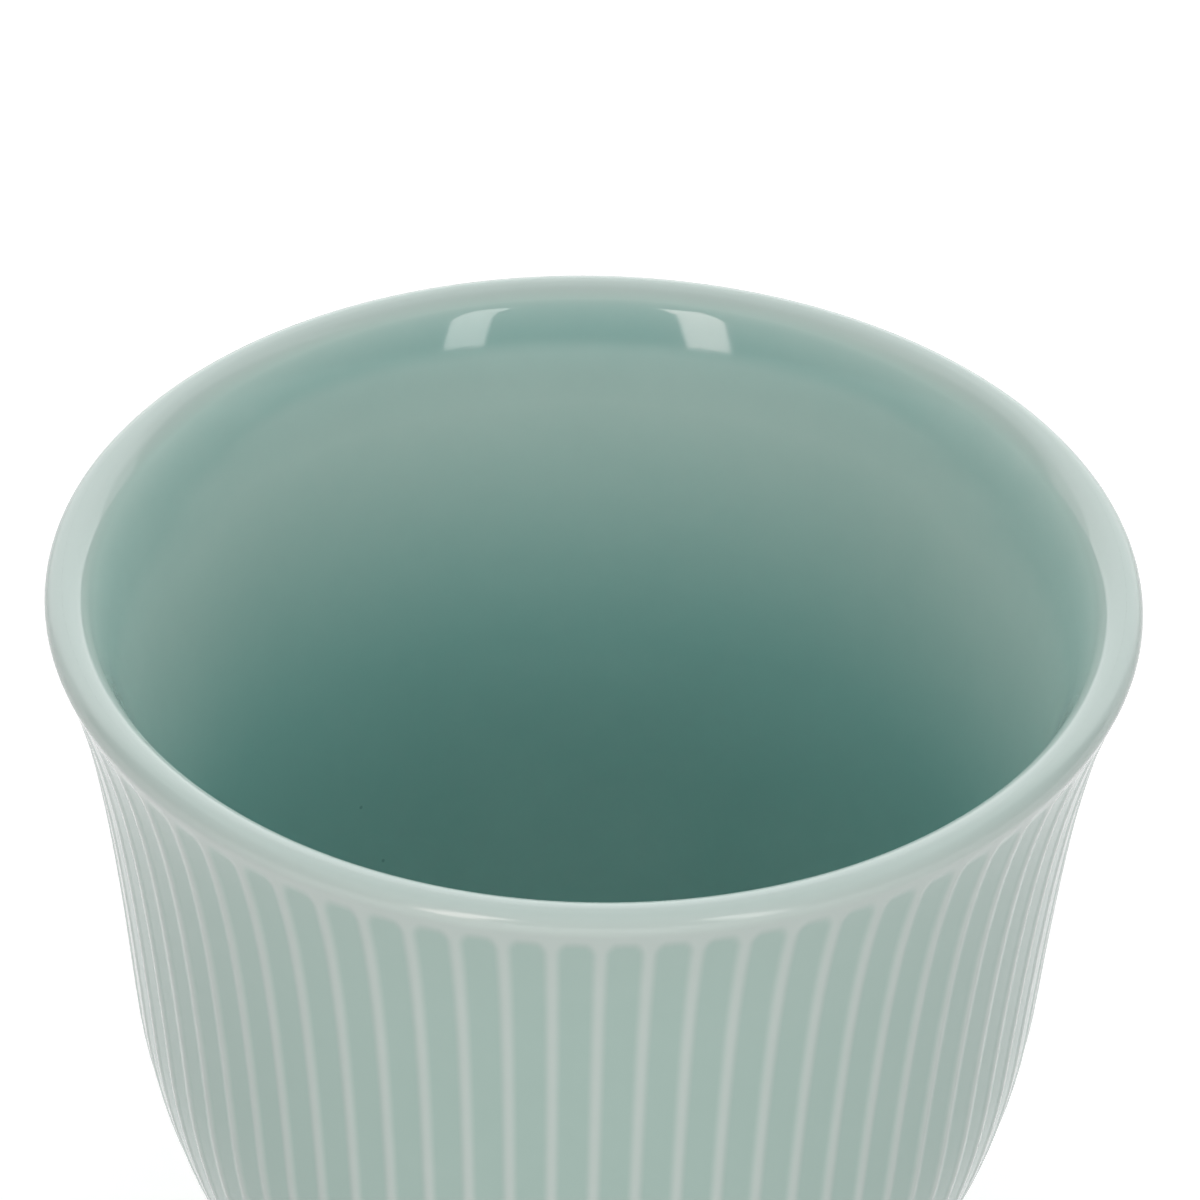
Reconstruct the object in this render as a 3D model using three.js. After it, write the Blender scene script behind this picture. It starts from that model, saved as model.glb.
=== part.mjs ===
// Tasting cup: a flared porcelain beaker with embossed ribs, glazed inside and out, on a bare foot ring.
// Millimetres and degrees, +Z up. The origin is the centre of the circle that the foot ring stands on.
import * as THREE from "three";

// Outside form, measured on the glaze. A lean is the angle of the wall from upright.
const CUP_HEIGHT = 80;
const RIM_RADIUS = 44;
const WAIST_HEIGHT = 42; // where the wall stands most upright
const WAIST_RADIUS = 37.45;
const WAIST_LEAN = 5.7;
const LIP_LEAN = 21; // outside, just under the lip
const BELLY_LEAN = 37; // outside, where the belly meets the foot
const BELLY_FULLNESS = 0.68; // how far a curve is drawn into the corner between its end tangents
const FLARE_FULLNESS = 0.78;

// Wall, lip and bowl, glaze included
const WALL = 3.3; // at the waist
const FLOOR = 4.5;
const LIP_OUTER_ROUND = 2.2;
const LIP_INNER_ROUND = 0.7;
const BOWL_LIP_LEAN = 23; // inside, just under the lip
const BOWL_FLAT_RADIUS = 5; // flat middle of the bowl
const BOWL_FULLNESS = 0.65;

// Foot ring, with a recess under the floor
const FOOT_RADIUS = 21.5;
const FOOT_HEIGHT = 4;
const FOOT_WALL = 3.6;
const FOOT_CHAMFER = 0.5;
const RECESS_DEPTH = 3.2;
const RECESS_CORNER = 0.9;

// Embossed ribs, with sunk panels between them
const RIB_COUNT = 72;
const RIB_BASE = 1.65; // width of a rib where it leaves the panels, at the rim; ribs taper with the cup
const RIB_HEIGHT = 0.3;
const PANEL_BOTTOM = 5.2; // height where the panels have run out above the foot
const PANEL_RUNOUT = 1.4;

// Glaze: thin where it draws away from the ribs, thick where it pools in the panels
const GLAZE = 0.3; // on the lip and the foot
const GLAZE_ON_RIBS = 0.2;
const GLAZE_IN_PANELS = 0.45;
const LINER_GLAZE = 0.35;
const BASE_GLAZE = 0.3;
const GLAZE_LINE = 1.2; // height where the glaze stops, so that the foot ring stands bare

// Facets
const FINE = RIB_COUNT; // points in a plain ring on the wall
const COARSE = Math.ceil(RIB_COUNT / 2); // points in a ring near the axis
const BELLY_BANDS = 3;
const FLARE_BANDS = 2;
const BOWL_BANDS = 6;
const LIP_BANDS = 2;

const radians = THREE.MathUtils.degToRad;
const at = (radius, height) => new THREE.Vector2(radius, height);

// Evenly spaced values from one number to another, both included.
function steps(from, to, count) {
  return Array.from({ length: count + 1 }, (_, i) => from + ((to - from) * i) / count);
}

// A curve of the cup's section that climbs from one point to another with a given lean at each end.
function climb(start, startLean, end, endLean, fullness) {
  const leave = at(Math.sin(radians(startLean)), Math.cos(radians(startLean)));
  const arrive = at(Math.sin(radians(endLean)), Math.cos(radians(endLean)));
  const reach = end.clone().sub(start).cross(arrive) / leave.cross(arrive);
  const corner = start.clone().addScaledVector(leave, reach);
  const first = start.clone().lerp(corner, fullness);
  const second = end.clone().lerp(corner, fullness);
  return new THREE.CubicBezierCurve(start, first, second, end);
}

// A point beside a climbing curve: towards the axis by depth, square to the curve.
function beside(curve, t, depth) {
  const point = curve.getPoint(t);
  const along = curve.getTangent(t);
  return at(point.x - along.y * depth, point.y + along.x * depth);
}

// The place on a climbing curve that has a given height.
function placeAtHeight(curve, height) {
  let low = 0;
  let high = 1;
  for (let halving = 0; halving < 40; halving += 1) {
    const middle = (low + high) / 2;
    if (curve.getPoint(middle).y < height) low = middle;
    else high = middle;
  }
  return low;
}

// A point on a round of the section: angle 0 is level and outwards, 90 is straight up.
function onRound(centre, radius, angle) {
  const turn = radians(angle);
  return at(centre.x + radius * Math.cos(turn), centre.y + radius * Math.sin(turn));
}

// The section's curves, all on the glazed surface
const lipCentre = at(RIM_RADIUS - LIP_OUTER_ROUND, CUP_HEIGHT - LIP_OUTER_ROUND);
const edgeCentre = at(RIM_RADIUS - LIP_OUTER_ROUND, CUP_HEIGHT - LIP_INNER_ROUND);
const floorHeight = RECESS_DEPTH + FLOOR;
const waist = at(WAIST_RADIUS, WAIST_HEIGHT);
const bowlWaist = at(WAIST_RADIUS - WALL, WAIST_HEIGHT);
const underLip = onRound(lipCentre, LIP_OUTER_ROUND, -LIP_LEAN);
const edgeEndAngle = 180 - BOWL_LIP_LEAN;
const insideLip = onRound(edgeCentre, LIP_INNER_ROUND, edgeEndAngle);
const belly = climb(at(FOOT_RADIUS, FOOT_HEIGHT), BELLY_LEAN, waist, WAIST_LEAN, BELLY_FULLNESS);
const flare = climb(waist, WAIST_LEAN, underLip, LIP_LEAN, FLARE_FULLNESS);
const bowl = climb(at(BOWL_FLAT_RADIUS, floorHeight), 90, bowlWaist, WAIST_LEAN, BOWL_FULLNESS);
const bowlFlare = climb(bowlWaist, WAIST_LEAN, insideLip, BOWL_LIP_LEAN, FLARE_FULLNESS);

function around(point, angle) {
  return new THREE.Vector3(point.x * Math.cos(angle), point.x * Math.sin(angle), point.y);
}

// A plain ring round the axis through one point of the section.
function ring(point, columns) {
  return steps(0, 2 * Math.PI, columns).slice(0, columns).map((angle) => around(point, angle));
}

// A single point on the axis, which closes a floor.
function pole(height) {
  return [new THREE.Vector3(0, 0, height)];
}

// A ring that follows the ribs: the crest of each rib, then the two edges of the panel after it.
function ribbedRing(crest, panel) {
  const pitch = (2 * Math.PI) / RIB_COUNT;
  const halfBase = RIB_BASE / 2 / RIM_RADIUS;
  const points = [];
  for (let rib = 0; rib < RIB_COUNT; rib += 1) {
    points.push(around(crest, rib * pitch));
    points.push(around(panel, rib * pitch + halfBase));
    points.push(around(panel, (rib + 1) * pitch - halfBase));
  }
  return points;
}

// Rings up the outside, from the glaze line to the top of the lip. The depths say how far the surface lies
// below the plain glaze on the lip and foot, and below the rib crests' glaze on the ribs and in the panels.
function outside({ plain, rib, panel }) {
  const ribbed = (curve, t) => ribbedRing(beside(curve, t, rib), beside(curve, t, panel));
  const panelBottom = beside(belly, placeAtHeight(belly, PANEL_BOTTOM), plain);
  const firstFull = placeAtHeight(belly, PANEL_BOTTOM + PANEL_RUNOUT);
  const lipAngles = steps(0, 90, LIP_BANDS); // the panels run out where the lip is widest
  return [
    ring(at(FOOT_RADIUS - plain, GLAZE_LINE), COARSE),
    ring(at(FOOT_RADIUS - plain, FOOT_HEIGHT), COARSE),
    ring(panelBottom, FINE),
    ...steps(firstFull, 1, BELLY_BANDS).map((t) => ribbed(belly, t)),
    ...steps(0, 1, FLARE_BANDS).slice(1).map((t) => ribbed(flare, t)),
    ...lipAngles.map((angle) => ring(onRound(lipCentre, LIP_OUTER_ROUND - plain, angle), FINE)),
  ];
}

// Rings over the lip's inner round, between its top and the inside.
function lipEdge() {
  const angles = steps(90, edgeEndAngle, LIP_BANDS).slice(1, -1);
  return angles.map((angle) => ring(onRound(edgeCentre, LIP_INNER_ROUND, angle), FINE));
}

// Rings down the inside, from under the lip to the axis, at a depth below the liner's surface.
function inside(depth) {
  const columns = (t) => (t < 0.5 ? COARSE : FINE);
  return [
    ...steps(1, 0, FLARE_BANDS).map((t) => ring(beside(bowlFlare, t, -depth), FINE)),
    ...steps(1, 0, BOWL_BANDS).slice(1).map((t) => ring(beside(bowl, t, -depth), columns(t))),
    pole(floorHeight - depth),
  ];
}

// Rings of the recess under the floor, from the axis out and down to the glaze line.
function recess(depth) {
  const side = FOOT_RADIUS - FOOT_WALL + depth;
  const ceiling = RECESS_DEPTH + depth;
  return [
    pole(ceiling),
    ring(at(side - RECESS_CORNER, ceiling), COARSE),
    ring(at(side, ceiling - RECESS_CORNER), COARSE),
    ring(at(side, GLAZE_LINE), COARSE),
  ];
}

// The bare rings of the foot between the two glaze lines.
function footRing() {
  const innerSide = FOOT_RADIUS - FOOT_WALL + BASE_GLAZE;
  const outerSide = FOOT_RADIUS - GLAZE;
  return [
    ring(at(innerSide, FOOT_CHAMFER), COARSE),
    ring(at(innerSide + FOOT_CHAMFER, 0), COARSE),
    ring(at(outerSide - FOOT_CHAMFER, 0), COARSE),
    ring(at(outerSide, FOOT_CHAMFER), COARSE),
  ];
}

// Triangles between two rings that follow each other round the section, whatever their counts of points.
function band(lower, upper) {
  const edges = (points) => (points.length > 1 ? points.length : 0);
  const pick = (points, i) => points[i % points.length];
  const corners = [];
  let i = 0;
  let j = 0;
  while (i < edges(lower) || j < edges(upper)) {
    const lowerIsBehind = (i + 0.5) * upper.length < (j + 0.5) * lower.length;
    if (j === edges(upper) || (i < edges(lower) && lowerIsBehind)) {
      corners.push(pick(lower, i), pick(lower, i + 1), pick(upper, j));
      i += 1;
    } else {
      corners.push(pick(lower, i), pick(upper, j + 1), pick(upper, j));
      j += 1;
    }
  }
  return corners;
}

// The triangles over a run of rings that follow each other round the section.
function skin(rings) {
  return rings.slice(1).flatMap((next, i) => band(rings[i], next));
}

// The same triangles facing the other way, for the piece on the far side of a shared surface.
function farSide(corners) {
  return corners.toReversed();
}

// A named piece from the skins that close it.
function piece(name, skins, material) {
  const geometry = new THREE.BufferGeometry().setFromPoints(skins.flat());
  geometry.computeVertexNormals();
  const mesh = new THREE.Mesh(geometry, material);
  mesh.name = name;
  return mesh;
}

// Rings of the glazed surface and of the clay under it
const outerCoat = outside({ plain: 0, rib: 0, panel: RIB_HEIGHT });
const outerClay = outside({
  plain: GLAZE,
  rib: GLAZE_ON_RIBS,
  panel: RIB_HEIGHT + GLAZE_IN_PANELS,
});
const lipTop = outerCoat.at(-1);
const clayTop = outerClay.at(-1);
const innerCoat = [lipTop, ...lipEdge(), ...inside(0)];
const innerClay = [clayTop, ...inside(LINER_GLAZE)];
const recessCoat = recess(0);
const recessClay = recess(BASE_GLAZE);

// Surfaces that two pieces share are made once, so the glaze lies on the clay without a gap.
const underOuterGlaze = skin(outerClay);
const underLiner = skin(innerClay);
const underBaseGlaze = skin(recessClay);
const lipSeam = skin([lipTop, clayTop]);

const glazeFinish = { color: 0xa3b7af, roughness: 0.12, metalness: 0 };
const clayFinish = { color: 0xefece4, roughness: 0.75, metalness: 0 };

const cup = new THREE.Group();
cup.name = "tasting_cup";
cup.add(
  piece(
    "porcelain_body",
    [underBaseGlaze, skin([recessClay.at(-1), ...footRing(), outerClay[0]]), underOuterGlaze, underLiner],
    new THREE.MeshStandardMaterial(clayFinish),
  ),
  piece(
    "outer_glaze",
    [skin(outerCoat), lipSeam, farSide(underOuterGlaze), skin([outerClay[0], outerCoat[0]])],
    new THREE.MeshStandardMaterial(glazeFinish),
  ),
  piece(
    "liner_glaze",
    [skin(innerCoat), farSide(underLiner), farSide(lipSeam)],
    new THREE.MeshStandardMaterial(glazeFinish),
  ),
  piece(
    "base_glaze",
    [skin([...recessCoat, recessClay.at(-1)]), farSide(underBaseGlaze)],
    new THREE.MeshStandardMaterial(glazeFinish),
  ),
);

export default cup;
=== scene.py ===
"""Tasting cup: a flared porcelain beaker with embossed ribs under a celadon glaze, on a bare foot ring.

The section is drawn in millimetres, with leans in degrees from upright, and turned round the cup's axis.
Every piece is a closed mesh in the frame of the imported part, in metres.
"""

from math import cos, pi, radians, sin, tan

import bpy
import numpy as np
from mathutils import Matrix, Vector


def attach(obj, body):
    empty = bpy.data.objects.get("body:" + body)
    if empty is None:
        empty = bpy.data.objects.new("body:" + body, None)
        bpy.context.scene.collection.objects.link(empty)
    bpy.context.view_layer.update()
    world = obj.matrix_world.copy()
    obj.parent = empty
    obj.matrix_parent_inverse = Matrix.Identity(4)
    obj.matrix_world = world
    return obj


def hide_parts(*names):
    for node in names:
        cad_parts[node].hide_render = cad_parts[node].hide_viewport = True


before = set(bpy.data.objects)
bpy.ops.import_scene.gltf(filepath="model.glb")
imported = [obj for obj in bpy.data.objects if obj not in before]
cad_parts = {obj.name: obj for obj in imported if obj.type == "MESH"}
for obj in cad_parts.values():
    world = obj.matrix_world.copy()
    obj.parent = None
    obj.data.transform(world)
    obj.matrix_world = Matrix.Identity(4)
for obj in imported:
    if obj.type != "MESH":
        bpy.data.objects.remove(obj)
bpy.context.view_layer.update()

MM = 0.001

# Outside form, measured on the glaze
CUP_HEIGHT = 80
RIM_RADIUS = 44
WAIST_HEIGHT = 42
WAIST_RADIUS = 37.45
WAIST_LEAN = 5.7
LIP_LEAN = 21
BELLY_LEAN = 37
BELLY_FULLNESS = 0.68
FLARE_FULLNESS = 0.78

# Wall, lip and bowl, glaze included
WALL = 3.3
FLOOR = 4.5
LIP_OUTER_ROUND = 1.4
LIP_TOP_ROUND = 2.1  # from the lip's top over to the inside
LIP_ROLL = 3.3  # the gentler round that leads from the bowl up to the lip
LIP_ROLL_LEAN = 45
BOWL_LIP_LEAN = 23.5
BOWL_FLAT_RADIUS = 5
BOWL_FULLNESS = 0.65

# Foot ring, with a recess under the floor
FOOT_RADIUS = 21.5
FOOT_HEIGHT = 4
FOOT_WALL = 3.6
FOOT_FILLET = 0.7
FOOT_ROUND = 0.5
RECESS_DEPTH = 3.2
RECESS_CORNER = 0.9

# Embossed ribs, with sunk panels between them. Widths are taken at the rim, and ribs taper with the cup.
RIB_COUNT = 72
RIB_WIDTH = 0.95
RIB_HEIGHT = 0.1
RIB_FLANK = 0.8
PANEL_TOP = 77.0
PANEL_BOTTOM = 6.2
PANEL_CORNER = 0.9
PANEL_END = 1.6  # how far a panel's ends take to fade, where its sides take the flank's width

# Glaze
GLAZE = 0.3
GLAZE_ON_RIBS = 0.2
GLAZE_IN_PANELS = 0.45
LINER_GLAZE = 0.35
BASE_GLAZE = 0.3
GLAZE_LINE = 1.2
LIP_FADE = 7.0  # how far below the lip the liner reaches its full colour; above that, its colour is partly thinner glaze and partly painted light
BACK_FADE = 2.4  # how much sooner it does so at the back, so the painted light reaches lower at the sides
SHADE_LINE = 75.5  # above this line the inside is painted darker: painted shade in a band under the rim, deepest at the back
SHADE_LINE_SAG = 3.6  # how much lower the line runs at the sides
SHADE_LINE_BLUR = 1.8
SHADE_FADE_REACH = 4  # how far the painted shade fades out below the line
DARKENING_START = 4.2  # the liner darkens from here below the shade line, towards the bowl's bottom
DARKENING_REACH = 23.5
DARKENING_EASE = 0.13  # a little less dark again at the very bottom
DARKENING_EASE_TOP = 42
DARKENING_EASE_REACH = 18
DEEPEST = 2.0
BASE_SHADE = 0.85
BASE_POOL = 0.5  # in the corner of the recess
BASE_POOL_WIDTH = 1.4
FOOT_POOL = 0.5  # in the corner over the foot ring
FOOT_POOL_WIDTH = 0.9
PLAIN_FOOT_SHADE = 0.55  # between the foot ring and the panels
LINE_FADE = 1.2

# The camera, fitted to the rim, the outline and the ribs
SENSOR_WIDTH = 36
PHOTO_SIZE = 1200
FOCAL_PIXELS = 8872
CAMERA_DISTANCE = 16.15 * RIM_RADIUS  # from the middle of the rim
CAMERA_HEIGHT_ANGLE = 36.20
CAMERA_TILT = 36.34
CAMERA_YAW = -0.039
CAMERA_ROLL = 1.257
CAMERA_AZIMUTH = -1.468  # the ribs stand on multiples of 5 degrees, and the photo's are turned by this


# The section


def on_round(centre, radius, angle):
    turn = radians(angle)
    return np.array([centre[0] + radius * cos(turn), centre[1] + radius * sin(turn)])


def climb(start, start_lean, end, end_lean, fullness):
    """Control points of a curve that climbs from one point to another with a given lean at each end."""
    start, end = np.array(start, float), np.array(end, float)
    leave = np.array([sin(radians(start_lean)), cos(radians(start_lean))])
    arrive = np.array([sin(radians(end_lean)), cos(radians(end_lean))])
    gap = end - start
    reach = (gap[0] * arrive[1] - gap[1] * arrive[0]) / (leave[0] * arrive[1] - leave[1] * arrive[0])
    corner = start + leave * reach
    return np.array([start, start + (corner - start) * fullness, end + (corner - end) * fullness, end])


def bezier(control, count=200):
    t = np.linspace(0, 1, count)[:, None]
    a, b, c, d = control
    return a * (1 - t) ** 3 + 3 * b * (1 - t) ** 2 * t + 3 * c * (1 - t) * t**2 + d * t**3


def arc(centre, radius, first, last, count=60):
    return np.array([on_round(centre, radius, angle) for angle in np.linspace(first, last, count)])


def bend(start, corner, end, count=30):
    """A soft bend from one point to another that is drawn towards the corner between them."""
    start, corner, end = (np.array(point, float) for point in (start, corner, end))
    control = [start, start + (corner - start) * 2 / 3, end + (corner - end) * 2 / 3, end]
    return bezier(np.array(control), count)


class Path:
    """A run of the section. The solid lies on its left when side is 1, and on its right when it is -1."""

    def __init__(self, *runs, side=1):
        points = np.vstack(runs)
        steps = np.linalg.norm(np.diff(points, axis=0), axis=1)
        self.points = points[np.concatenate([[True], steps > 1e-6])]
        steps = np.linalg.norm(np.diff(self.points, axis=0), axis=1)
        self.lengths = np.concatenate([[0], np.cumsum(steps)])
        along = np.gradient(self.points, self.lengths, axis=0)
        along /= np.linalg.norm(along, axis=1)[:, None]
        self.normals = side * np.column_stack([along[:, 1], -along[:, 0]])

    def at_height(self, height):
        """The length along a path that climbs all the way, where it has a given height."""
        return float(np.interp(height, self.points[:, 1], self.lengths))

    def nearest(self, point):
        return float(self.lengths[np.argmin(np.linalg.norm(self.points - np.array(point), axis=1))])

    def sample(self, lengths):
        points = np.column_stack([np.interp(lengths, self.lengths, self.points[:, i]) for i in (0, 1)])
        normals = np.column_stack([np.interp(lengths, self.lengths, self.normals[:, i]) for i in (0, 1)])
        return points, normals / np.linalg.norm(normals, axis=1)[:, None]


def spans(*stops):
    """Lengths along a path: each stop after the first is (where, how many steps lead to it)."""
    lengths = [stops[0]]
    for where, count in stops[1:]:
        lengths.extend(np.linspace(lengths[-1], where, count + 1)[1:])
    return np.array(lengths)


recess_side = FOOT_RADIUS - FOOT_WALL
ring_inner = recess_side + BASE_GLAZE  # the bare foot ring, between two coats
ring_outer = FOOT_RADIUS - GLAZE
seam_radius = RIM_RADIUS - LIP_OUTER_ROUND
lip_centre = (seam_radius, CUP_HEIGHT - LIP_OUTER_ROUND)
top_centre = (seam_radius, CUP_HEIGHT - LIP_TOP_ROUND)
floor_height = RECESS_DEPTH + FLOOR
waist = (WAIST_RADIUS, WAIST_HEIGHT)
bowl_waist = (WAIST_RADIUS - WALL, WAIST_HEIGHT)
under_lip = on_round(lip_centre, LIP_OUTER_ROUND, -LIP_LEAN)
roll_start = on_round(top_centre, LIP_TOP_ROUND, 180 - LIP_ROLL_LEAN)
roll_centre = on_round(roll_start, LIP_ROLL, -LIP_ROLL_LEAN)
inside_lip = on_round(roll_centre, LIP_ROLL, 180 - BOWL_LIP_LEAN)

belly_curve = bezier(climb((FOOT_RADIUS, FOOT_HEIGHT), BELLY_LEAN, waist, WAIST_LEAN, BELLY_FULLNESS))
flare_curve = bezier(climb(waist, WAIST_LEAN, under_lip, LIP_LEAN, FLARE_FULLNESS))
bowl_curve = bezier(climb((BOWL_FLAT_RADIUS, floor_height), 90, bowl_waist, WAIST_LEAN, BOWL_FULLNESS))
bowl_flare = bezier(climb(bowl_waist, WAIST_LEAN, inside_lip, BOWL_LIP_LEAN, FLARE_FULLNESS))
above_fillet = belly_curve[:, 1] > FOOT_HEIGHT + FOOT_FILLET

outside = Path(
    arc((ring_outer, GLAZE_LINE + GLAZE), GLAZE, -90, 0, 20),
    bend(
        (FOOT_RADIUS, FOOT_HEIGHT - FOOT_FILLET),
        (FOOT_RADIUS, FOOT_HEIGHT),
        belly_curve[above_fillet][0],
    ),
    belly_curve[above_fillet],
    flare_curve,
    arc(lip_centre, LIP_OUTER_ROUND, -LIP_LEAN, 90),
)
inside = Path(
    np.array([[0, floor_height], [BOWL_FLAT_RADIUS, floor_height]]),
    bowl_curve,
    bowl_flare,
    arc(roll_centre, LIP_ROLL, 180 - BOWL_LIP_LEAN, 180 - LIP_ROLL_LEAN),
    arc(top_centre, LIP_TOP_ROUND, 180 - LIP_ROLL_LEAN, 90),
    side=-1,
)
recess = Path(
    np.array([[0, RECESS_DEPTH], [recess_side - RECESS_CORNER, RECESS_DEPTH]]),
    arc((recess_side - RECESS_CORNER, RECESS_DEPTH - RECESS_CORNER), RECESS_CORNER, 90, 0, 20),
    np.array([[recess_side, GLAZE_LINE + BASE_GLAZE]]),
    arc((ring_inner, GLAZE_LINE + BASE_GLAZE), BASE_GLAZE, 180, 270, 12),
    side=1,
)


# Rings round the axis

SHARP_ANGLE = 50
PITCH = 2 * pi / RIB_COUNT
FINE_OFFSETS = np.array([0, 0.14, 0.3, 0.46, 0.62, 0.82, 1.15])  # from a rib's middle, at the rim
one_side = FINE_OFFSETS / RIM_RADIUS
one_pitch = np.concatenate([one_side, [PITCH / 2], PITCH - one_side[:0:-1]])
fine_angles = (np.arange(RIB_COUNT)[:, None] * PITCH + one_pitch[None, :]).ravel()
clay_angles = np.arange(2 * RIB_COUNT) * PITCH / 2
plain_angles = np.arange(3 * RIB_COUNT) * PITCH / 3


def smooth(value):
    value = np.clip(value, 0, 1)
    return value * value * (3 - 2 * value)


def panel_share(angles, lengths):
    """How far each point lies in a panel: 0 on ribs and plain bands, 1 on a panel's floor."""
    offset = np.abs((angles + PITCH / 2) % PITCH - PITCH / 2) * RIM_RADIUS
    from_side = offset - RIB_WIDTH / 2
    low, high = outside.at_height(PANEL_BOTTOM), outside.at_height(PANEL_TOP)
    from_end = np.minimum(lengths - low, high - lengths) * RIB_FLANK / PANEL_END
    across, up = np.meshgrid(PANEL_CORNER - from_side, PANEL_CORNER - from_end)
    corner = np.hypot(np.maximum(across, 0), np.maximum(up, 0)) + np.minimum(np.maximum(across, up), 0)
    return smooth((PANEL_CORNER - corner) / RIB_FLANK + 0.5)


def turned(points, normals, angles, depth=0):
    """Rings of points in metres, at a depth below a run of the section."""
    depth = np.broadcast_to(depth, (len(points), len(angles)))
    radius = points[:, :1] - normals[:, :1] * depth
    height = points[:, 1:] - normals[:, 1:] * depth
    return MM * np.stack([radius * np.cos(angles), radius * np.sin(angles), height], axis=-1)


def single_ring(radius, height, angles):
    return turned(np.array([[radius, height]]), np.zeros((1, 2)), angles)


def pole(height):
    return np.array([[0, 0, height * MM]])


def band(first, second, start_first, start_second):
    """Faces between two rings. Either may be a single point, and their counts of points may differ."""
    n, m = len(first), len(second)
    step = np.arange(max(n, m))
    following = (step + 1) % len(step)
    if n == 1:
        corners = [np.full(m, start_first), start_second + following, start_second + step]
        return np.column_stack(corners).tolist()
    if m == 1:
        corners = [start_first + step, start_first + following, np.full(n, start_second)]
        return np.column_stack(corners).tolist()
    if n == m:
        lower = [start_first + step, start_first + following]
        upper = [start_second + following, start_second + step]
        return np.column_stack(lower + upper).tolist()
    faces = []
    i = j = 0
    while i < n or j < m:
        first_is_behind = (i + 0.5) * m < (j + 0.5) * n
        if j == m or (i < n and first_is_behind):
            faces.append([start_first + i, start_first + (i + 1) % n, start_second + j % m])
            i += 1
        else:
            faces.append([start_first + i % n, start_second + (j + 1) % m, start_second + j % m])
            j += 1
    return faces


def turned_piece(name, rings, glaze, material):
    """A closed piece from rings that run once round its section, with a glaze value for every point, which
    on the liner also holds painted shade and painted light.
    """
    starts = np.concatenate([[0], np.cumsum([len(ring) for ring in rings])])
    loop = list(range(len(rings)))
    if len(rings[0]) > 1:
        loop.append(0)
    faces = []
    for i, j in zip(loop[:-1], loop[1:]):
        faces.extend(band(rings[i], rings[j], int(starts[i]), int(starts[j])))
    mesh = bpy.data.meshes.new(name)
    mesh.from_pydata(np.vstack(rings).tolist(), [], faces)
    mesh.polygons.foreach_set("use_smooth", [True] * len(mesh.polygons))
    mesh.set_sharp_from_angle(angle=radians(SHARP_ANGLE))
    # The glaze value also carries painted shade and painted light on the liner.
    values = mesh.attributes.new("glaze", "FLOAT", "POINT")
    values.data.foreach_set("value", np.concatenate([np.ravel(part) for part in glaze]).astype(np.float32))
    mesh.materials.append(material)
    mesh.validate()
    mesh.update()
    piece = bpy.data.objects.new(name, mesh)
    bpy.context.scene.collection.objects.link(piece)
    return piece


# Node helpers


class Nodes:
    def __init__(self, tree):
        self.tree = tree
        tree.nodes.clear()

    def add(self, kind, settings=None, **inputs):
        node = self.tree.nodes.new(kind)
        for key, value in (settings or {}).items():
            setattr(node, key, value)
        for key, value in inputs.items():
            self.feed(node, key.replace("_", " "), value)
        return node

    def feed(self, node, key, value):
        socket = node.inputs[int(key)] if key.isdigit() else node.inputs[key]
        if isinstance(value, bpy.types.NodeSocket):
            self.tree.links.new(value, socket)
        else:
            socket.default_value = value

    def math(self, operation, first, second=0.0, third=0.0, clamp=False):
        node = self.add("ShaderNodeMath", {"operation": operation, "use_clamp": clamp})
        for i, value in enumerate((first, second, third)):
            self.feed(node, str(i), value)
        return node.outputs[0]

    def scaled(self, value, low, high, to_low, to_high):
        node = self.add("ShaderNodeMapRange", {"interpolation_type": "SMOOTHSTEP"}, Value=value)
        for key, number in (("From Min", low), ("From Max", high), ("To Min", to_low), ("To Max", to_high)):
            self.feed(node, key, number)
        return node.outputs["Result"]

    def mix(self, factor, first, second):
        node = self.add("ShaderNodeMix", {"data_type": "RGBA"})
        self.feed(node, "0", factor)
        self.feed(node, "6", first)
        self.feed(node, "7", second)
        return node.outputs[2]

    def noise(self, where, scale, detail):
        node = self.add("ShaderNodeTexNoise", Vector=where, Scale=scale, Detail=detail)
        return node.outputs["Factor" if "Factor" in node.outputs else "Fac"]

    def show(self, shader, output="ShaderNodeOutputMaterial"):
        self.feed(self.add(output), "Surface", shader.outputs[0])


def shade(red, green, blue):
    return (red, green, blue, 1.0)


# Colours
WHITE = shade(1, 1, 1)
ON_RIBS = shade(0.485, 0.583, 0.548)
IN_PANELS = shade(0.350, 0.496, 0.446)
IN_POOLS = shade(0.26, 0.395, 0.348)
ON_LIP = shade(0.552, 0.676, 0.638)
# The liner's first colour, near the rim, is thinner glaze with painted light; its last, darkest colour
# serves the bowl's bottom and the painted shade band under the rim.
LINER_THIN_AND_LIT = shade(0.568, 0.668, 0.628)
LINER_FULL = shade(0.558, 0.732, 0.681)
LINER_DEEP = shade(0.300, 0.541, 0.504)
IRON = shade(0.05, 0.07, 0.06)
PINHOLE = shade(0.75, 0.78, 0.75)
CLAY_SHADE = shade(0.80, 0.76, 0.69)
CLAY_LIGHT = shade(0.86, 0.83, 0.77)
CLAY_GRAINS = shade(0.55, 0.47, 0.38)
CLAY_SOIL = shade(0.60, 0.57, 0.52)

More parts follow.
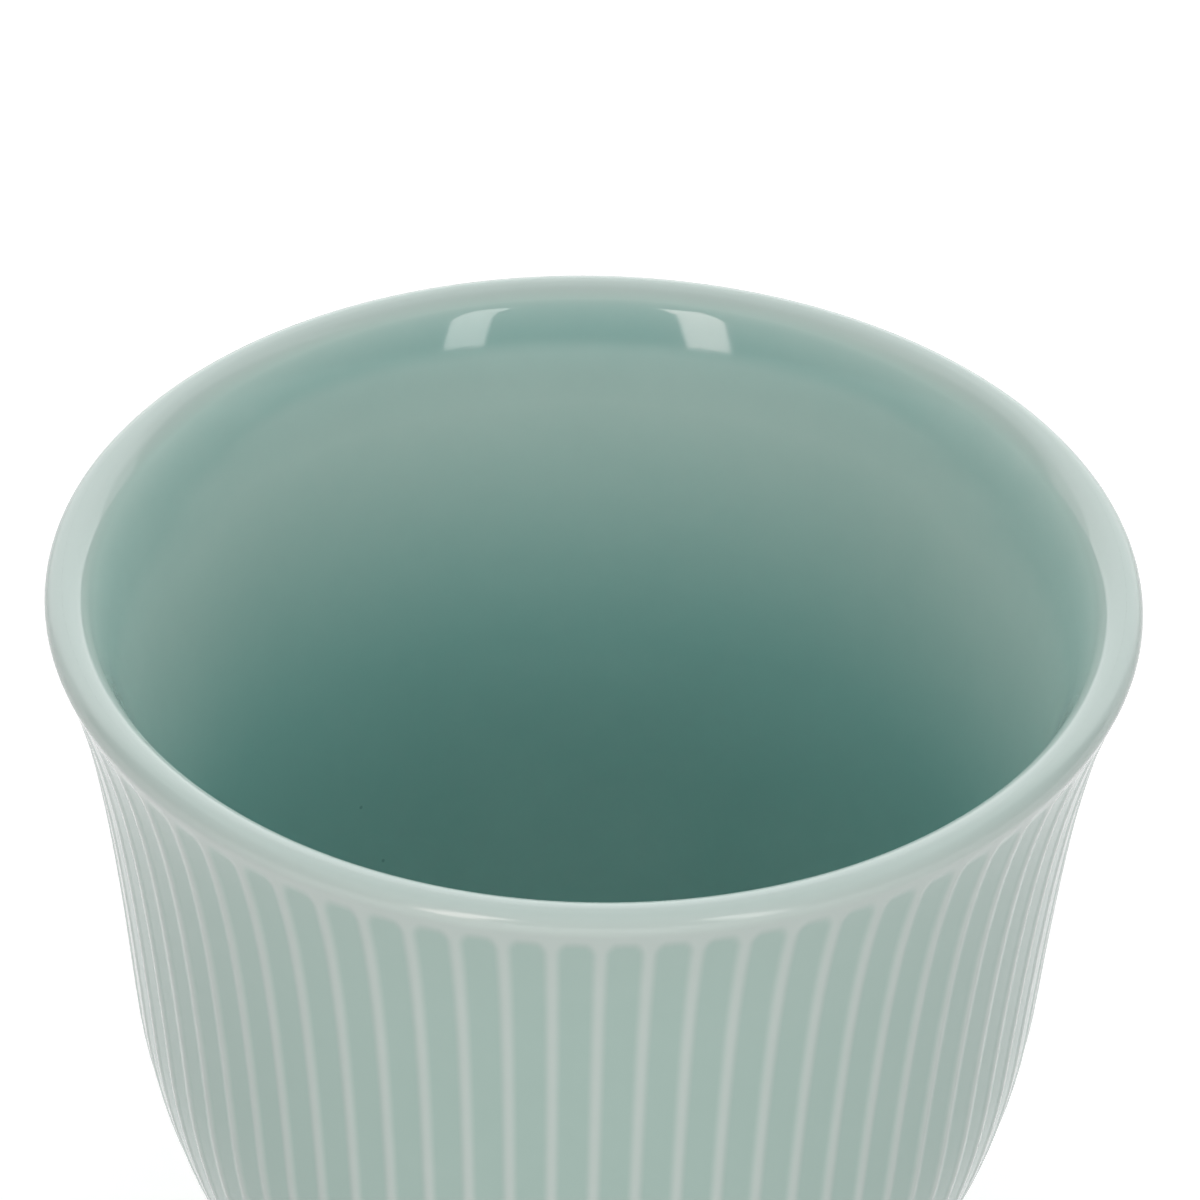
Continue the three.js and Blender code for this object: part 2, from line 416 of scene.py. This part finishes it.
# Details of the glaze, with lengths in metres. Pairs are the two ends of a soft change.
LIP_SHADE = (0.0788, 0.0799)  # heights between which the lip's own colour comes in
OUTER_WEAR = (0.0772, 0.0788)  # heights between which handling has dulled the lip
LINER_WEAR = (0.0790, 0.0797)
WEAR_ROUGHNESS = (0.08, 0.12)
GLAZE_ROUGHNESS = (0.045, 0.085)
GLAZE_IOR = 1.55
WAVE_DEPTH = 0.000006
TURNING_MARKS = 0.03  # how deep they are, as a share of the glaze's waves
TURNING_RATE = 26000.0  # radians for every metre of height
DRIFT_SCALE = 70
CLOUD_SCALE = 420
WAVE_SCALE = 190
WANDER_SCALE = 55
SPECK_SCALE = 95
SPECK_EDGE = (0.006, 0.014)  # as shares of a cell
IRON_ABOVE = 0.86  # only cells above these chances hold a speck
PINHOLE_ABOVE = 0.9
BOWL_SPECKS = [(-18.83, 27.37, 35.5), (-16.92, 27.05, 30.0)]  # two dark specks in the bowl, in millimetres
BOWL_SPECK_EDGE = (0.00008, 0.00022)

# Details of the clay, with lengths in metres
GRAIN_SCALE = 2600
CLAY_CLOUD_SCALE = 130
GRAIN_EDGE = (0.62, 0.75)
GRAIN_DEPTH = 0.00002
RUBBED_HEIGHT = (0.0002, 0.0007)
RUBBED_RAGGEDNESS = 0.0004
CLAY_ROUGHNESS = (0.62, 0.88)
CLAY_IOR = 1.5


def new_material(name):
    material = bpy.data.materials.new(name)
    material.use_nodes = True
    return material, Nodes(material.node_tree)


def glaze_material(name, thin, thick, deep, lip, worn, turning=0.0, marks=()):
    """A celadon glaze, paler where it is thin. The liner's thin colour near the rim is partly painted
    light. Values above 1 lead to the darkest colour: deep pools outside and on the base, and inside painted
    shade and a darker bowl.
    """
    material, nodes = new_material(name)
    where = nodes.add("ShaderNodeTexCoord").outputs["Object"]
    thickness_and_shade = nodes.add("ShaderNodeAttribute", {"attribute_name": "glaze"}).outputs["Fac"]
    drift = nodes.noise(where, DRIFT_SCALE, 2.0)
    cloud = nodes.noise(where, CLOUD_SCALE, 3.0)
    uneven = nodes.math("MULTIPLY_ADD", drift, 0.16, -0.08)
    uneven = nodes.math("ADD", uneven, nodes.math("MULTIPLY_ADD", cloud, 0.10, -0.05))
    uneven = nodes.math("ADD", thickness_and_shade, uneven)
    height = nodes.add("ShaderNodeSeparateXYZ", Vector=where).outputs["Z"]
    colour = nodes.mix(nodes.scaled(height, *LIP_SHADE, 0.0, 1.0), thin, lip)
    colour = nodes.mix(nodes.math("ADD", uneven, 0.0, clamp=True), colour, thick)
    colour = nodes.mix(nodes.math("SUBTRACT", uneven, 1.0, clamp=True), colour, deep)

    # Sparse iron specks and pale pinholes
    cells = nodes.add("ShaderNodeTexVoronoi", {"feature": "F1"}, Vector=where, Scale=SPECK_SCALE)
    chance = nodes.add("ShaderNodeSeparateColor", Color=cells.outputs["Color"])
    near = nodes.scaled(cells.outputs["Distance"], *SPECK_EDGE, 1.0, 0.0)
    dark = nodes.math("MULTIPLY", near, nodes.math("GREATER_THAN", chance.outputs["Red"], IRON_ABOVE))
    pale = nodes.math("MULTIPLY", near, nodes.math("GREATER_THAN", chance.outputs["Green"], PINHOLE_ABOVE))
    colour = nodes.mix(nodes.math("MULTIPLY", dark, 0.6), colour, IRON)
    colour = nodes.mix(nodes.math("MULTIPLY", pale, 0.5), colour, PINHOLE)
    for mark in marks:
        away = nodes.add("ShaderNodeVectorMath", {"operation": "DISTANCE"})
        nodes.feed(away, "0", where)
        nodes.feed(away, "1", [MM * v for v in mark])
        spot = nodes.scaled(away.outputs["Value"], *BOWL_SPECK_EDGE, 0.35, 0.0)
        colour = nodes.mix(spot, colour, IRON)

    # The glaze's own soft waves, and the turning marks under it
    waves = nodes.noise(where, WAVE_SCALE, 1.0)
    if turning:
        wander = nodes.noise(where, WANDER_SCALE, 1.0)
        rows = nodes.math("MULTIPLY_ADD", height, TURNING_RATE, nodes.math("MULTIPLY", wander, 30.0))
        rows = nodes.math("MULTIPLY", nodes.math("SINE", rows), turning)
        waves = nodes.math("ADD", waves, rows)
    bump = nodes.add("ShaderNodeBump", Strength=1.0, Distance=WAVE_DEPTH, Height=waves)
    roughness = nodes.scaled(cloud, 0.25, 0.75, *GLAZE_ROUGHNESS)
    handled = nodes.scaled(height, *worn, 0.0, 1.0)
    rubbed = nodes.math("MULTIPLY", handled, nodes.scaled(drift, 0.2, 0.8, *WEAR_ROUGHNESS))
    roughness = nodes.math("ADD", roughness, rubbed)
    shader = nodes.add("ShaderNodeBsdfPrincipled", Roughness=roughness, IOR=GLAZE_IOR)
    nodes.feed(shader, "Normal", bump.outputs[0])
    nodes.feed(shader, "Base Color", colour)
    nodes.show(shader)
    return material


def clay_material(name):
    """Bare fired porcelain: a fine warm grain, rubbed smooth and a little soiled where the cup stands."""
    material, nodes = new_material(name)
    where = nodes.add("ShaderNodeTexCoord").outputs["Object"]
    grain = nodes.noise(where, GRAIN_SCALE, 3.0)
    cloud = nodes.noise(where, CLAY_CLOUD_SCALE, 3.0)
    height = nodes.add("ShaderNodeSeparateXYZ", Vector=where).outputs["Z"]
    ragged_height = nodes.math("ADD", height, nodes.math("MULTIPLY", cloud, RUBBED_RAGGEDNESS))
    rubbed = nodes.scaled(ragged_height, *RUBBED_HEIGHT, 1.0, 0.0)
    colour = nodes.mix(nodes.scaled(cloud, 0.3, 0.7, 0.0, 1.0), CLAY_SHADE, CLAY_LIGHT)
    grains = nodes.math("MULTIPLY", nodes.scaled(grain, *GRAIN_EDGE, 0.0, 1.0), 0.35)
    colour = nodes.mix(grains, colour, CLAY_GRAINS)
    colour = nodes.mix(nodes.math("MULTIPLY", rubbed, 0.35), colour, CLAY_SOIL)
    smoothed_grain = nodes.math("ADD", grain, nodes.math("MULTIPLY", rubbed, -0.3))
    roughness = nodes.scaled(smoothed_grain, 0.0, 1.0, *CLAY_ROUGHNESS)
    bump = nodes.add("ShaderNodeBump", Strength=0.6, Distance=GRAIN_DEPTH, Height=grain)
    shader = nodes.add("ShaderNodeBsdfPrincipled", Roughness=roughness, IOR=CLAY_IOR)
    nodes.feed(shader, "Normal", bump.outputs[0])
    nodes.feed(shader, "Base Color", colour)
    nodes.show(shader)
    return material


# Rows up the outside, closer together where panels end and where the lip turns
EDGE_ROLL = 0.47  # the length of a coat's round lower edge
panel_low, panel_high = outside.at_height(PANEL_BOTTOM), outside.at_height(PANEL_TOP)
foot_corner = outside.at_height(FOOT_HEIGHT)
outside_end = outside.lengths[-1]
outside_rows = spans(
    0,
    (0.25, 2),
    (EDGE_ROLL, 2),
    (foot_corner - 0.7, 2),
    (foot_corner + 0.8, 6),
    (panel_low - 0.8, 3),
    (panel_low + 2.2, 10),
    (panel_low + 6, 4),
    (panel_high - 6, 26),
    (panel_high - 2.4, 5),
    (panel_high + 0.8, 15),
    (outside_end - 0.03, 13),
    (outside_end, 1),
)
outside_points, outside_normals = outside.sample(outside_rows)
share = panel_share(fine_angles, outside_rows)
glazed_outside = turned(outside_points, outside_normals, fine_angles, RIB_HEIGHT * share)
pooled_at_foot = np.exp(-(((outside_rows - foot_corner) / FOOT_POOL_WIDTH) ** 2))[:, None]
thin_at_line = 1 - smooth((outside_rows - 0.2) / LINE_FADE)[:, None]
plain_foot = smooth((panel_low - outside_rows) / LINE_FADE)[:, None] * PLAIN_FOOT_SHADE
glaze_outside = np.maximum(share, plain_foot) + FOOT_POOL * pooled_at_foot
glaze_outside = glaze_outside * (1 - thin_at_line)

# The clay under it, with the same ribs
clay_rows = spans(
    EDGE_ROLL,
    (foot_corner, 3),
    (panel_low - 0.4, 3),
    (panel_low + 1.0, 3),
    (panel_high - 0.8, 26),
    (panel_high + 0.4, 2),
    (outside_end, 6),
)
clay_points, clay_normals = outside.sample(clay_rows)
clay_share = panel_share(clay_angles, clay_rows)
on_rib = smooth((clay_rows - panel_low + 0.4) / 1.4) * smooth((panel_high + 0.4 - clay_rows) / 1.2)
cover = GLAZE + (GLAZE_ON_RIBS - GLAZE) * on_rib[:, None]
cover = cover + (RIB_HEIGHT + GLAZE_IN_PANELS - GLAZE_ON_RIBS) * clay_share
clay_outside = turned(clay_points, clay_normals, clay_angles, cover)
clay_line = single_ring(ring_outer, GLAZE_LINE, clay_angles)

# Rows of the inside
inside_end = inside.lengths[-1]
bowl_foot = inside.nearest((BOWL_FLAT_RADIUS, floor_height))
roll_foot = inside.nearest(inside_lip)
inside_rows = spans(
    bowl_foot * 0.2,
    (bowl_foot, 3),
    (inside.nearest(bowl_waist), 34),
    (inside.at_height(SHADE_LINE) - 1, 16),
    (inside.at_height(SHADE_LINE) + 1, 8),
    (roll_foot, 6),
    (inside_end - 0.03, 18),
    (inside_end, 1),
)
inside_points, inside_normals = inside.sample(inside_rows)
glazed_inside = turned(inside_points, inside_normals, plain_angles)
below_lip = (inside_end - inside_rows)[:, None]
heights = inside_points[:, 1:]
to_back = np.clip(np.sin(plain_angles), 0, 1)[None, :]
fade_lengths = LIP_FADE - BACK_FADE * to_back
# Near the rim the liner keeps its thin colour: partly thinner glaze, partly painted light, reaching lower
# at the sides than at the back.
fading = smooth(np.sqrt(np.clip((below_lip - 1) / fade_lengths, 0, 1)))
clear_of_rim = smooth((below_lip / fade_lengths - 0.2) / 0.35)
# Painted shade: a darker band from under the rim down to the shade line and a little below it, strongest at
# the back and lower at the sides, in place of the back wall's reflection.
sag = SHADE_LINE_SAG * smooth((0.85 - np.sin(plain_angles)) / 0.5)[None, :]
above_shade_line = heights - SHADE_LINE + sag
sinking = np.clip((-DARKENING_START - above_shade_line) / DARKENING_REACH, 0, 1)
easing = DARKENING_EASE * smooth((DARKENING_EASE_TOP - heights) / DARKENING_EASE_REACH)
darkening = 0.6 * sinking + 0.4 * smooth(sinking) - easing
shade_below_line = (0.1 + 0.2 * to_back**2) * smooth(above_shade_line / SHADE_FADE_REACH + 1.25)
shade_above_line = (0.2 + 0.25 * to_back**2) * smooth(above_shade_line / SHADE_LINE_BLUR + 0.5)
glaze_and_shade_inside = fading + darkening + clear_of_rim * (shade_below_line + shade_above_line)
inner_clay_rows = spans(
    bowl_foot * 0.2,
    (bowl_foot, 2),
    (inside.nearest(bowl_waist), 12),
    (roll_foot, 8),
    (inside_end, 7),
)
inner_clay_points, inner_clay_normals = inside.sample(inner_clay_rows)
up_the_roll = smooth((inner_clay_rows - roll_foot) / (inside_end - roll_foot))
inner_cover = LINER_GLAZE + (GLAZE - LINER_GLAZE) * up_the_roll
clay_inside = turned(inner_clay_points, inner_clay_normals, clay_angles, inner_cover[:, None])

# Rows of the recess
recess_end = recess.lengths[-1]
recess_rows = spans(
    2,
    (recess_side - RECESS_CORNER, 6),
    (recess_end - 0.9, 10),
    (recess_end - EDGE_ROLL, 3),
    (recess_end, 5),
)
recess_points, recess_normals = recess.sample(recess_rows)
glazed_recess = turned(recess_points, recess_normals, plain_angles)
recess_clay_rows = spans(
    2,
    (recess_side - RECESS_CORNER, 4),
    (recess_end - 0.9, 5),
    (recess_end - EDGE_ROLL, 2),
)
recess_clay_points, recess_clay_normals = recess.sample(recess_clay_rows)
clay_recess = turned(recess_clay_points, recess_clay_normals, clay_angles, BASE_GLAZE)
recess_line = single_ring(ring_inner, GLAZE_LINE, clay_angles)
pool_edge = np.exp(-(((recess_rows - recess_side + RECESS_CORNER / 2) / BASE_POOL_WIDTH) ** 2))
glaze_recess = (BASE_SHADE + BASE_POOL * pool_edge) * smooth((recess_end - recess_rows - 0.1) / 0.9)
glaze_recess = glaze_recess[:, None] * np.ones(len(plain_angles))

# The bare foot ring, rounded at both edges
foot_section = np.vstack(
    [
        arc((ring_inner + FOOT_ROUND, FOOT_ROUND), FOOT_ROUND, 180, 270, 7),
        arc((ring_outer - FOOT_ROUND, FOOT_ROUND), FOOT_ROUND, 270, 360, 7),
    ]
)
foot_ring = turned(foot_section, np.zeros_like(foot_section), clay_angles)


def level_glaze(rings, value=0.0):
    return [np.full(len(ring), value) for ring in rings]


outer_finish = glaze_material("outer_glaze", ON_RIBS, IN_PANELS, IN_POOLS, ON_LIP, OUTER_WEAR)
base_finish = glaze_material("base_glaze", ON_RIBS, IN_PANELS, IN_POOLS, ON_LIP, OUTER_WEAR)
liner_finish = glaze_material(
    "liner_glaze",
    LINER_THIN_AND_LIT,
    LINER_FULL,
    LINER_DEEP,
    ON_LIP,
    LINER_WEAR,
    turning=TURNING_MARKS,
    marks=BOWL_SPECKS,
)
clay_finish = clay_material("porcelain")

clay_rings = [
    pole(RECESS_DEPTH + BASE_GLAZE),
    *clay_recess,
    *recess_line,
    *foot_ring,
    *clay_line,
    *clay_outside,
    *clay_inside[::-1][1:],
    pole(floor_height - LINER_GLAZE),
]
porcelain = turned_piece("porcelain_body_fine", clay_rings, level_glaze(clay_rings), clay_finish)

outer_under = clay_outside[::-1]
outer = turned_piece(
    "outer_glaze_fine",
    [*glazed_outside, *outer_under],
    [glaze_outside, *level_glaze(outer_under)],
    outer_finish,
)

liner_under = [pole(floor_height - LINER_GLAZE), *clay_inside]
liner_top = [*glazed_inside[::-1], pole(floor_height)]
liner = turned_piece(
    "liner_glaze_fine",
    [*liner_under, *liner_top],
    [*level_glaze(liner_under, 1.0), glaze_and_shade_inside[::-1], [DEEPEST]],
    liner_finish,
)

base_under = [*clay_recess[::-1], pole(RECESS_DEPTH + BASE_GLAZE)]
base = turned_piece(
    "base_glaze_fine",
    [pole(RECESS_DEPTH), *glazed_recess, *base_under],
    [[BASE_SHADE], glaze_recess, *level_glaze(base_under, 1.0)],
    base_finish,
)

for piece, node, slot in (
    (porcelain, "porcelain_body", "porcelain"),
    (outer, "outer_glaze", "outer_glaze"),
    (liner, "liner_glaze", "liner_glaze"),
    (base, "base_glaze", "base_glaze"),
):
    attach(piece, "root")
    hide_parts(node)


# The camera

scene = bpy.context.scene
facing = Matrix.Rotation(radians(CAMERA_AZIMUTH), 4, "Z")  # camera and lamps stand turned by this
tilt, yaw, roll = radians(CAMERA_TILT), radians(CAMERA_YAW), radians(CAMERA_ROLL)
level = Matrix(((1, 0, 0), (0, -sin(tilt), -cos(tilt)), (0, cos(tilt), -sin(tilt))))
swing = Matrix(((cos(yaw), 0, sin(yaw)), (0, 1, 0), (-sin(yaw), 0, cos(yaw))))
spin = Matrix(((cos(roll), -sin(roll), 0), (sin(roll), cos(roll), 0), (0, 0, 1)))
right, down, forward = spin @ swing @ level
axes = Matrix((right, -down, -forward)).transposed().to_4x4()
height_angle = radians(CAMERA_HEIGHT_ANGLE)
place = MM * Vector(
    (0, -CAMERA_DISTANCE * cos(height_angle), CUP_HEIGHT + CAMERA_DISTANCE * sin(height_angle))
)
camera_data = bpy.data.cameras.new("camera")
camera_data.sensor_width = SENSOR_WIDTH
camera_data.lens = SENSOR_WIDTH * FOCAL_PIXELS / PHOTO_SIZE
camera_data.clip_start = 0.01
camera = bpy.data.objects.new("camera", camera_data)
camera.matrix_world = facing @ Matrix.Translation(place) @ axes
scene.collection.objects.link(camera)
scene.camera = camera


# The stage: a pale floor, a white surround and lamps

# Brightness of walls, lamps and floor. The walls light matt surfaces, and other rays see plain white.
FRONT_WALL = 1.06
SIDE_WALLS = 1.2
BACK_WALL = 1.95
CEILING = 0.16
SIDE_SWEEP = 0.75
RIGHT_LIGHT = 4.25
LEFT_LIGHT = 5.6
BACK_LIGHT = 0.85
LOW_LIGHT = 7.6
RIGHT_TINT = (1.0, 0.935, 0.925)
LEFT_TINT = (1.0, 0.86, 0.85)
FLOOR_REACH = 4.0
FLOOR_DROP = 0.00005  # keeps the floor just clear of the foot ring
FLOOR_BOUNCE = 0.34
FLOOR_SHOWN = 0.9
FLOOR_GLOW = 0.33

# Where the surround changes, as parts of a direction from -1 to 1
FRONT_EDGE = (-0.60, -0.35)
BACK_EDGE = (0.30, 0.55)
LEFT_TO_RIGHT = (-0.8, 0.8)
SIDE_SHARES = (0.9, 1.05)
WALL_FOOT = (0.34, 0.50)
CEILING_EDGE = (0.68, 0.82)
SWEEP_SIDES = (0.45, 0.85)
SWEEP_TOP = (0.14, 0.24)


def shown_rays(nodes):
    """1 for rays that show the background: from the camera, by gloss or through glass."""
    path = nodes.add("ShaderNodeLightPath")
    seen = nodes.math("MAXIMUM", path.outputs["Is Camera Ray"], path.outputs["Is Glossy Ray"])
    return nodes.math("MAXIMUM", seen, path.outputs["Is Transmission Ray"])


world = bpy.data.worlds.new("surround")
scene.world = world
world.use_nodes = True
nodes = Nodes(world.node_tree)
direction = nodes.add("ShaderNodeTexCoord").outputs["Generated"]
way = nodes.add("ShaderNodeSeparateXYZ", Vector=direction).outputs
walls = nodes.math(
    "ADD",
    nodes.scaled(way["Y"], *FRONT_EDGE, FRONT_WALL, SIDE_WALLS),
    nodes.scaled(way["Y"], *BACK_EDGE, 0.0, BACK_WALL - SIDE_WALLS),
)
walls = nodes.math("MULTIPLY", walls, nodes.scaled(way["X"], *LEFT_TO_RIGHT, *SIDE_SHARES))
walls = nodes.math("MULTIPLY", walls, nodes.scaled(way["Z"], *WALL_FOOT, 0.0, 1.0))
to_ceiling = nodes.scaled(way["Z"], *CEILING_EDGE, 0.0, 1.0)
walls = nodes.math("MULTIPLY_ADD", to_ceiling, nodes.math("SUBTRACT", CEILING, walls), walls)
sweep = nodes.scaled(nodes.math("ABSOLUTE", way["X"]), *SWEEP_SIDES, 0.0, SIDE_SWEEP)
sweep = nodes.math("MULTIPLY", sweep, nodes.scaled(way["Z"], *SWEEP_TOP, 1.0, 0.0))
walls = nodes.math("ADD", walls, sweep)
strength = nodes.math("MULTIPLY_ADD", shown_rays(nodes), nodes.math("SUBTRACT", 1.0, walls), walls)
background = nodes.add("ShaderNodeBackground", Color=WHITE, Strength=strength)
nodes.show(background, "ShaderNodeOutputWorld")

floor_mesh = bpy.data.meshes.new("floor")
floor_corners = [(x * FLOOR_REACH, y * FLOOR_REACH, 0) for x, y in ((-1, -1), (1, -1), (1, 1), (-1, 1))]
floor_mesh.from_pydata(floor_corners, [], [(0, 1, 2, 3)])
floor = bpy.data.objects.new("floor", floor_mesh)
floor.location.z = -FLOOR_DROP
scene.collection.objects.link(floor)
floor_finish, nodes = new_material("floor")
shown = shown_rays(nodes)
paleness = nodes.math("MULTIPLY_ADD", shown, FLOOR_SHOWN - FLOOR_BOUNCE, FLOOR_BOUNCE)
matt = nodes.add("ShaderNodeBsdfDiffuse", Color=paleness)
glow = nodes.add("ShaderNodeEmission", Color=WHITE, Strength=nodes.math("MULTIPLY", shown, FLOOR_GLOW))
both = nodes.add("ShaderNodeAddShader")
nodes.feed(both, "0", matt.outputs[0])
nodes.feed(both, "1", glow.outputs[0])
nodes.show(both)
floor_mesh.materials.append(floor_finish)


def softbox(name, azimuth, low, high, width, lean, distance, radiance):
    """A lamp between two heights in degrees, as seen from the rim. Azimuth 0 is the camera's side."""
    middle = (low + high) / 2
    data = bpy.data.lights.new(name, "AREA")
    data.shape = "RECTANGLE"
    data.size = 2 * distance * tan(radians(width / 2))
    data.size_y = 2 * distance * tan(radians((high - low) / 2))
    data.energy = radiance * pi * data.size * data.size_y
    lamp = bpy.data.objects.new(name, data)
    aim = Matrix.Rotation(radians(azimuth), 4, "Z") @ Matrix.Rotation(radians(90 - middle), 4, "X")
    lamp.matrix_world = (
        facing
        @ Matrix.Translation((0, 0, CUP_HEIGHT * MM))
        @ aim
        @ Matrix.Translation((0, 0, distance))
        @ Matrix.Rotation(radians(lean), 4, "Z")
    )
    lamp.visible_camera = False
    scene.collection.objects.link(lamp)
    return lamp


FRONT_SOFTBOXES = {"low": -4, "high": 27.5, "distance": 0.4}
right_softbox = softbox("right_softbox", 28.7, width=9, lean=14, radiance=RIGHT_LIGHT, **FRONT_SOFTBOXES)
left_softbox = softbox("left_softbox", -22.6, width=10, lean=-14, radiance=LEFT_LIGHT, **FRONT_SOFTBOXES)
softbox("back_softbox", 180, low=-3, high=51, width=100, lean=0, distance=1.3, radiance=BACK_LIGHT)
low_softbox = softbox("low_softbox", 0, low=-5, high=5, width=40, lean=0, distance=0.8, radiance=LOW_LIGHT)
right_softbox.data.color = RIGHT_TINT
left_softbox.data.color = LEFT_TINT
low_softbox.visible_glossy = False


def reflected_sheet(name, points):
    """A sheet between two rows of points, which only reflections see, and the nodes of its material."""
    count = len(points) // 2
    mesh = bpy.data.meshes.new(name)
    mesh.from_pydata(points, [], [(i, i + 1, count + i + 1, count + i) for i in range(count - 1)])
    finish, nodes = new_material(name)
    mesh.materials.append(finish)
    sheet = bpy.data.objects.new(name, mesh)
    scene.collection.objects.link(sheet)
    sheet.visible_camera = False
    sheet.visible_diffuse = False
    sheet.visible_transmission = False
    sheet.visible_shadow = False
    return sheet, nodes


# A dark card all round the camera's side
CARD_REACH = 1.4
CARD_SPREAD = 115
CARD_EDGE = 48
CARD_SHADE = shade(0.05, 0.05, 0.05)
card_turns = [radians(a - 90) for a in np.linspace(-CARD_SPREAD, CARD_SPREAD, 47)]
card_heights = (0, CUP_HEIGHT * MM + CARD_REACH * tan(radians(CARD_EDGE)))
card_points = [(CARD_REACH * cos(a), CARD_REACH * sin(a), z) for z in card_heights for a in card_turns]
card, nodes = reflected_sheet("dark_card", card_points)
nodes.show(nodes.add("ShaderNodeBsdfDiffuse", Color=CARD_SHADE))

# A grey flag arched over the cup
FLAG_REACH = 1.2
FLAG_WIDTH = 1.6
FLAG_TURNS = (82, 134)
FLAG_STRENGTH = 0.3
flag_turns = [radians(a) for a in np.linspace(*FLAG_TURNS, 19)]
flag_points = [
    (side * FLAG_WIDTH / 2, FLAG_REACH * cos(a), CUP_HEIGHT * MM + FLAG_REACH * sin(a))
    for side in (-1, 1)
    for a in flag_turns
]
flag, nodes = reflected_sheet("grey_flag", flag_points)
nodes.show(nodes.add("ShaderNodeEmission", Color=WHITE, Strength=FLAG_STRENGTH))

scene.view_settings.view_transform = "Standard"

bpy.context.view_layer.update()
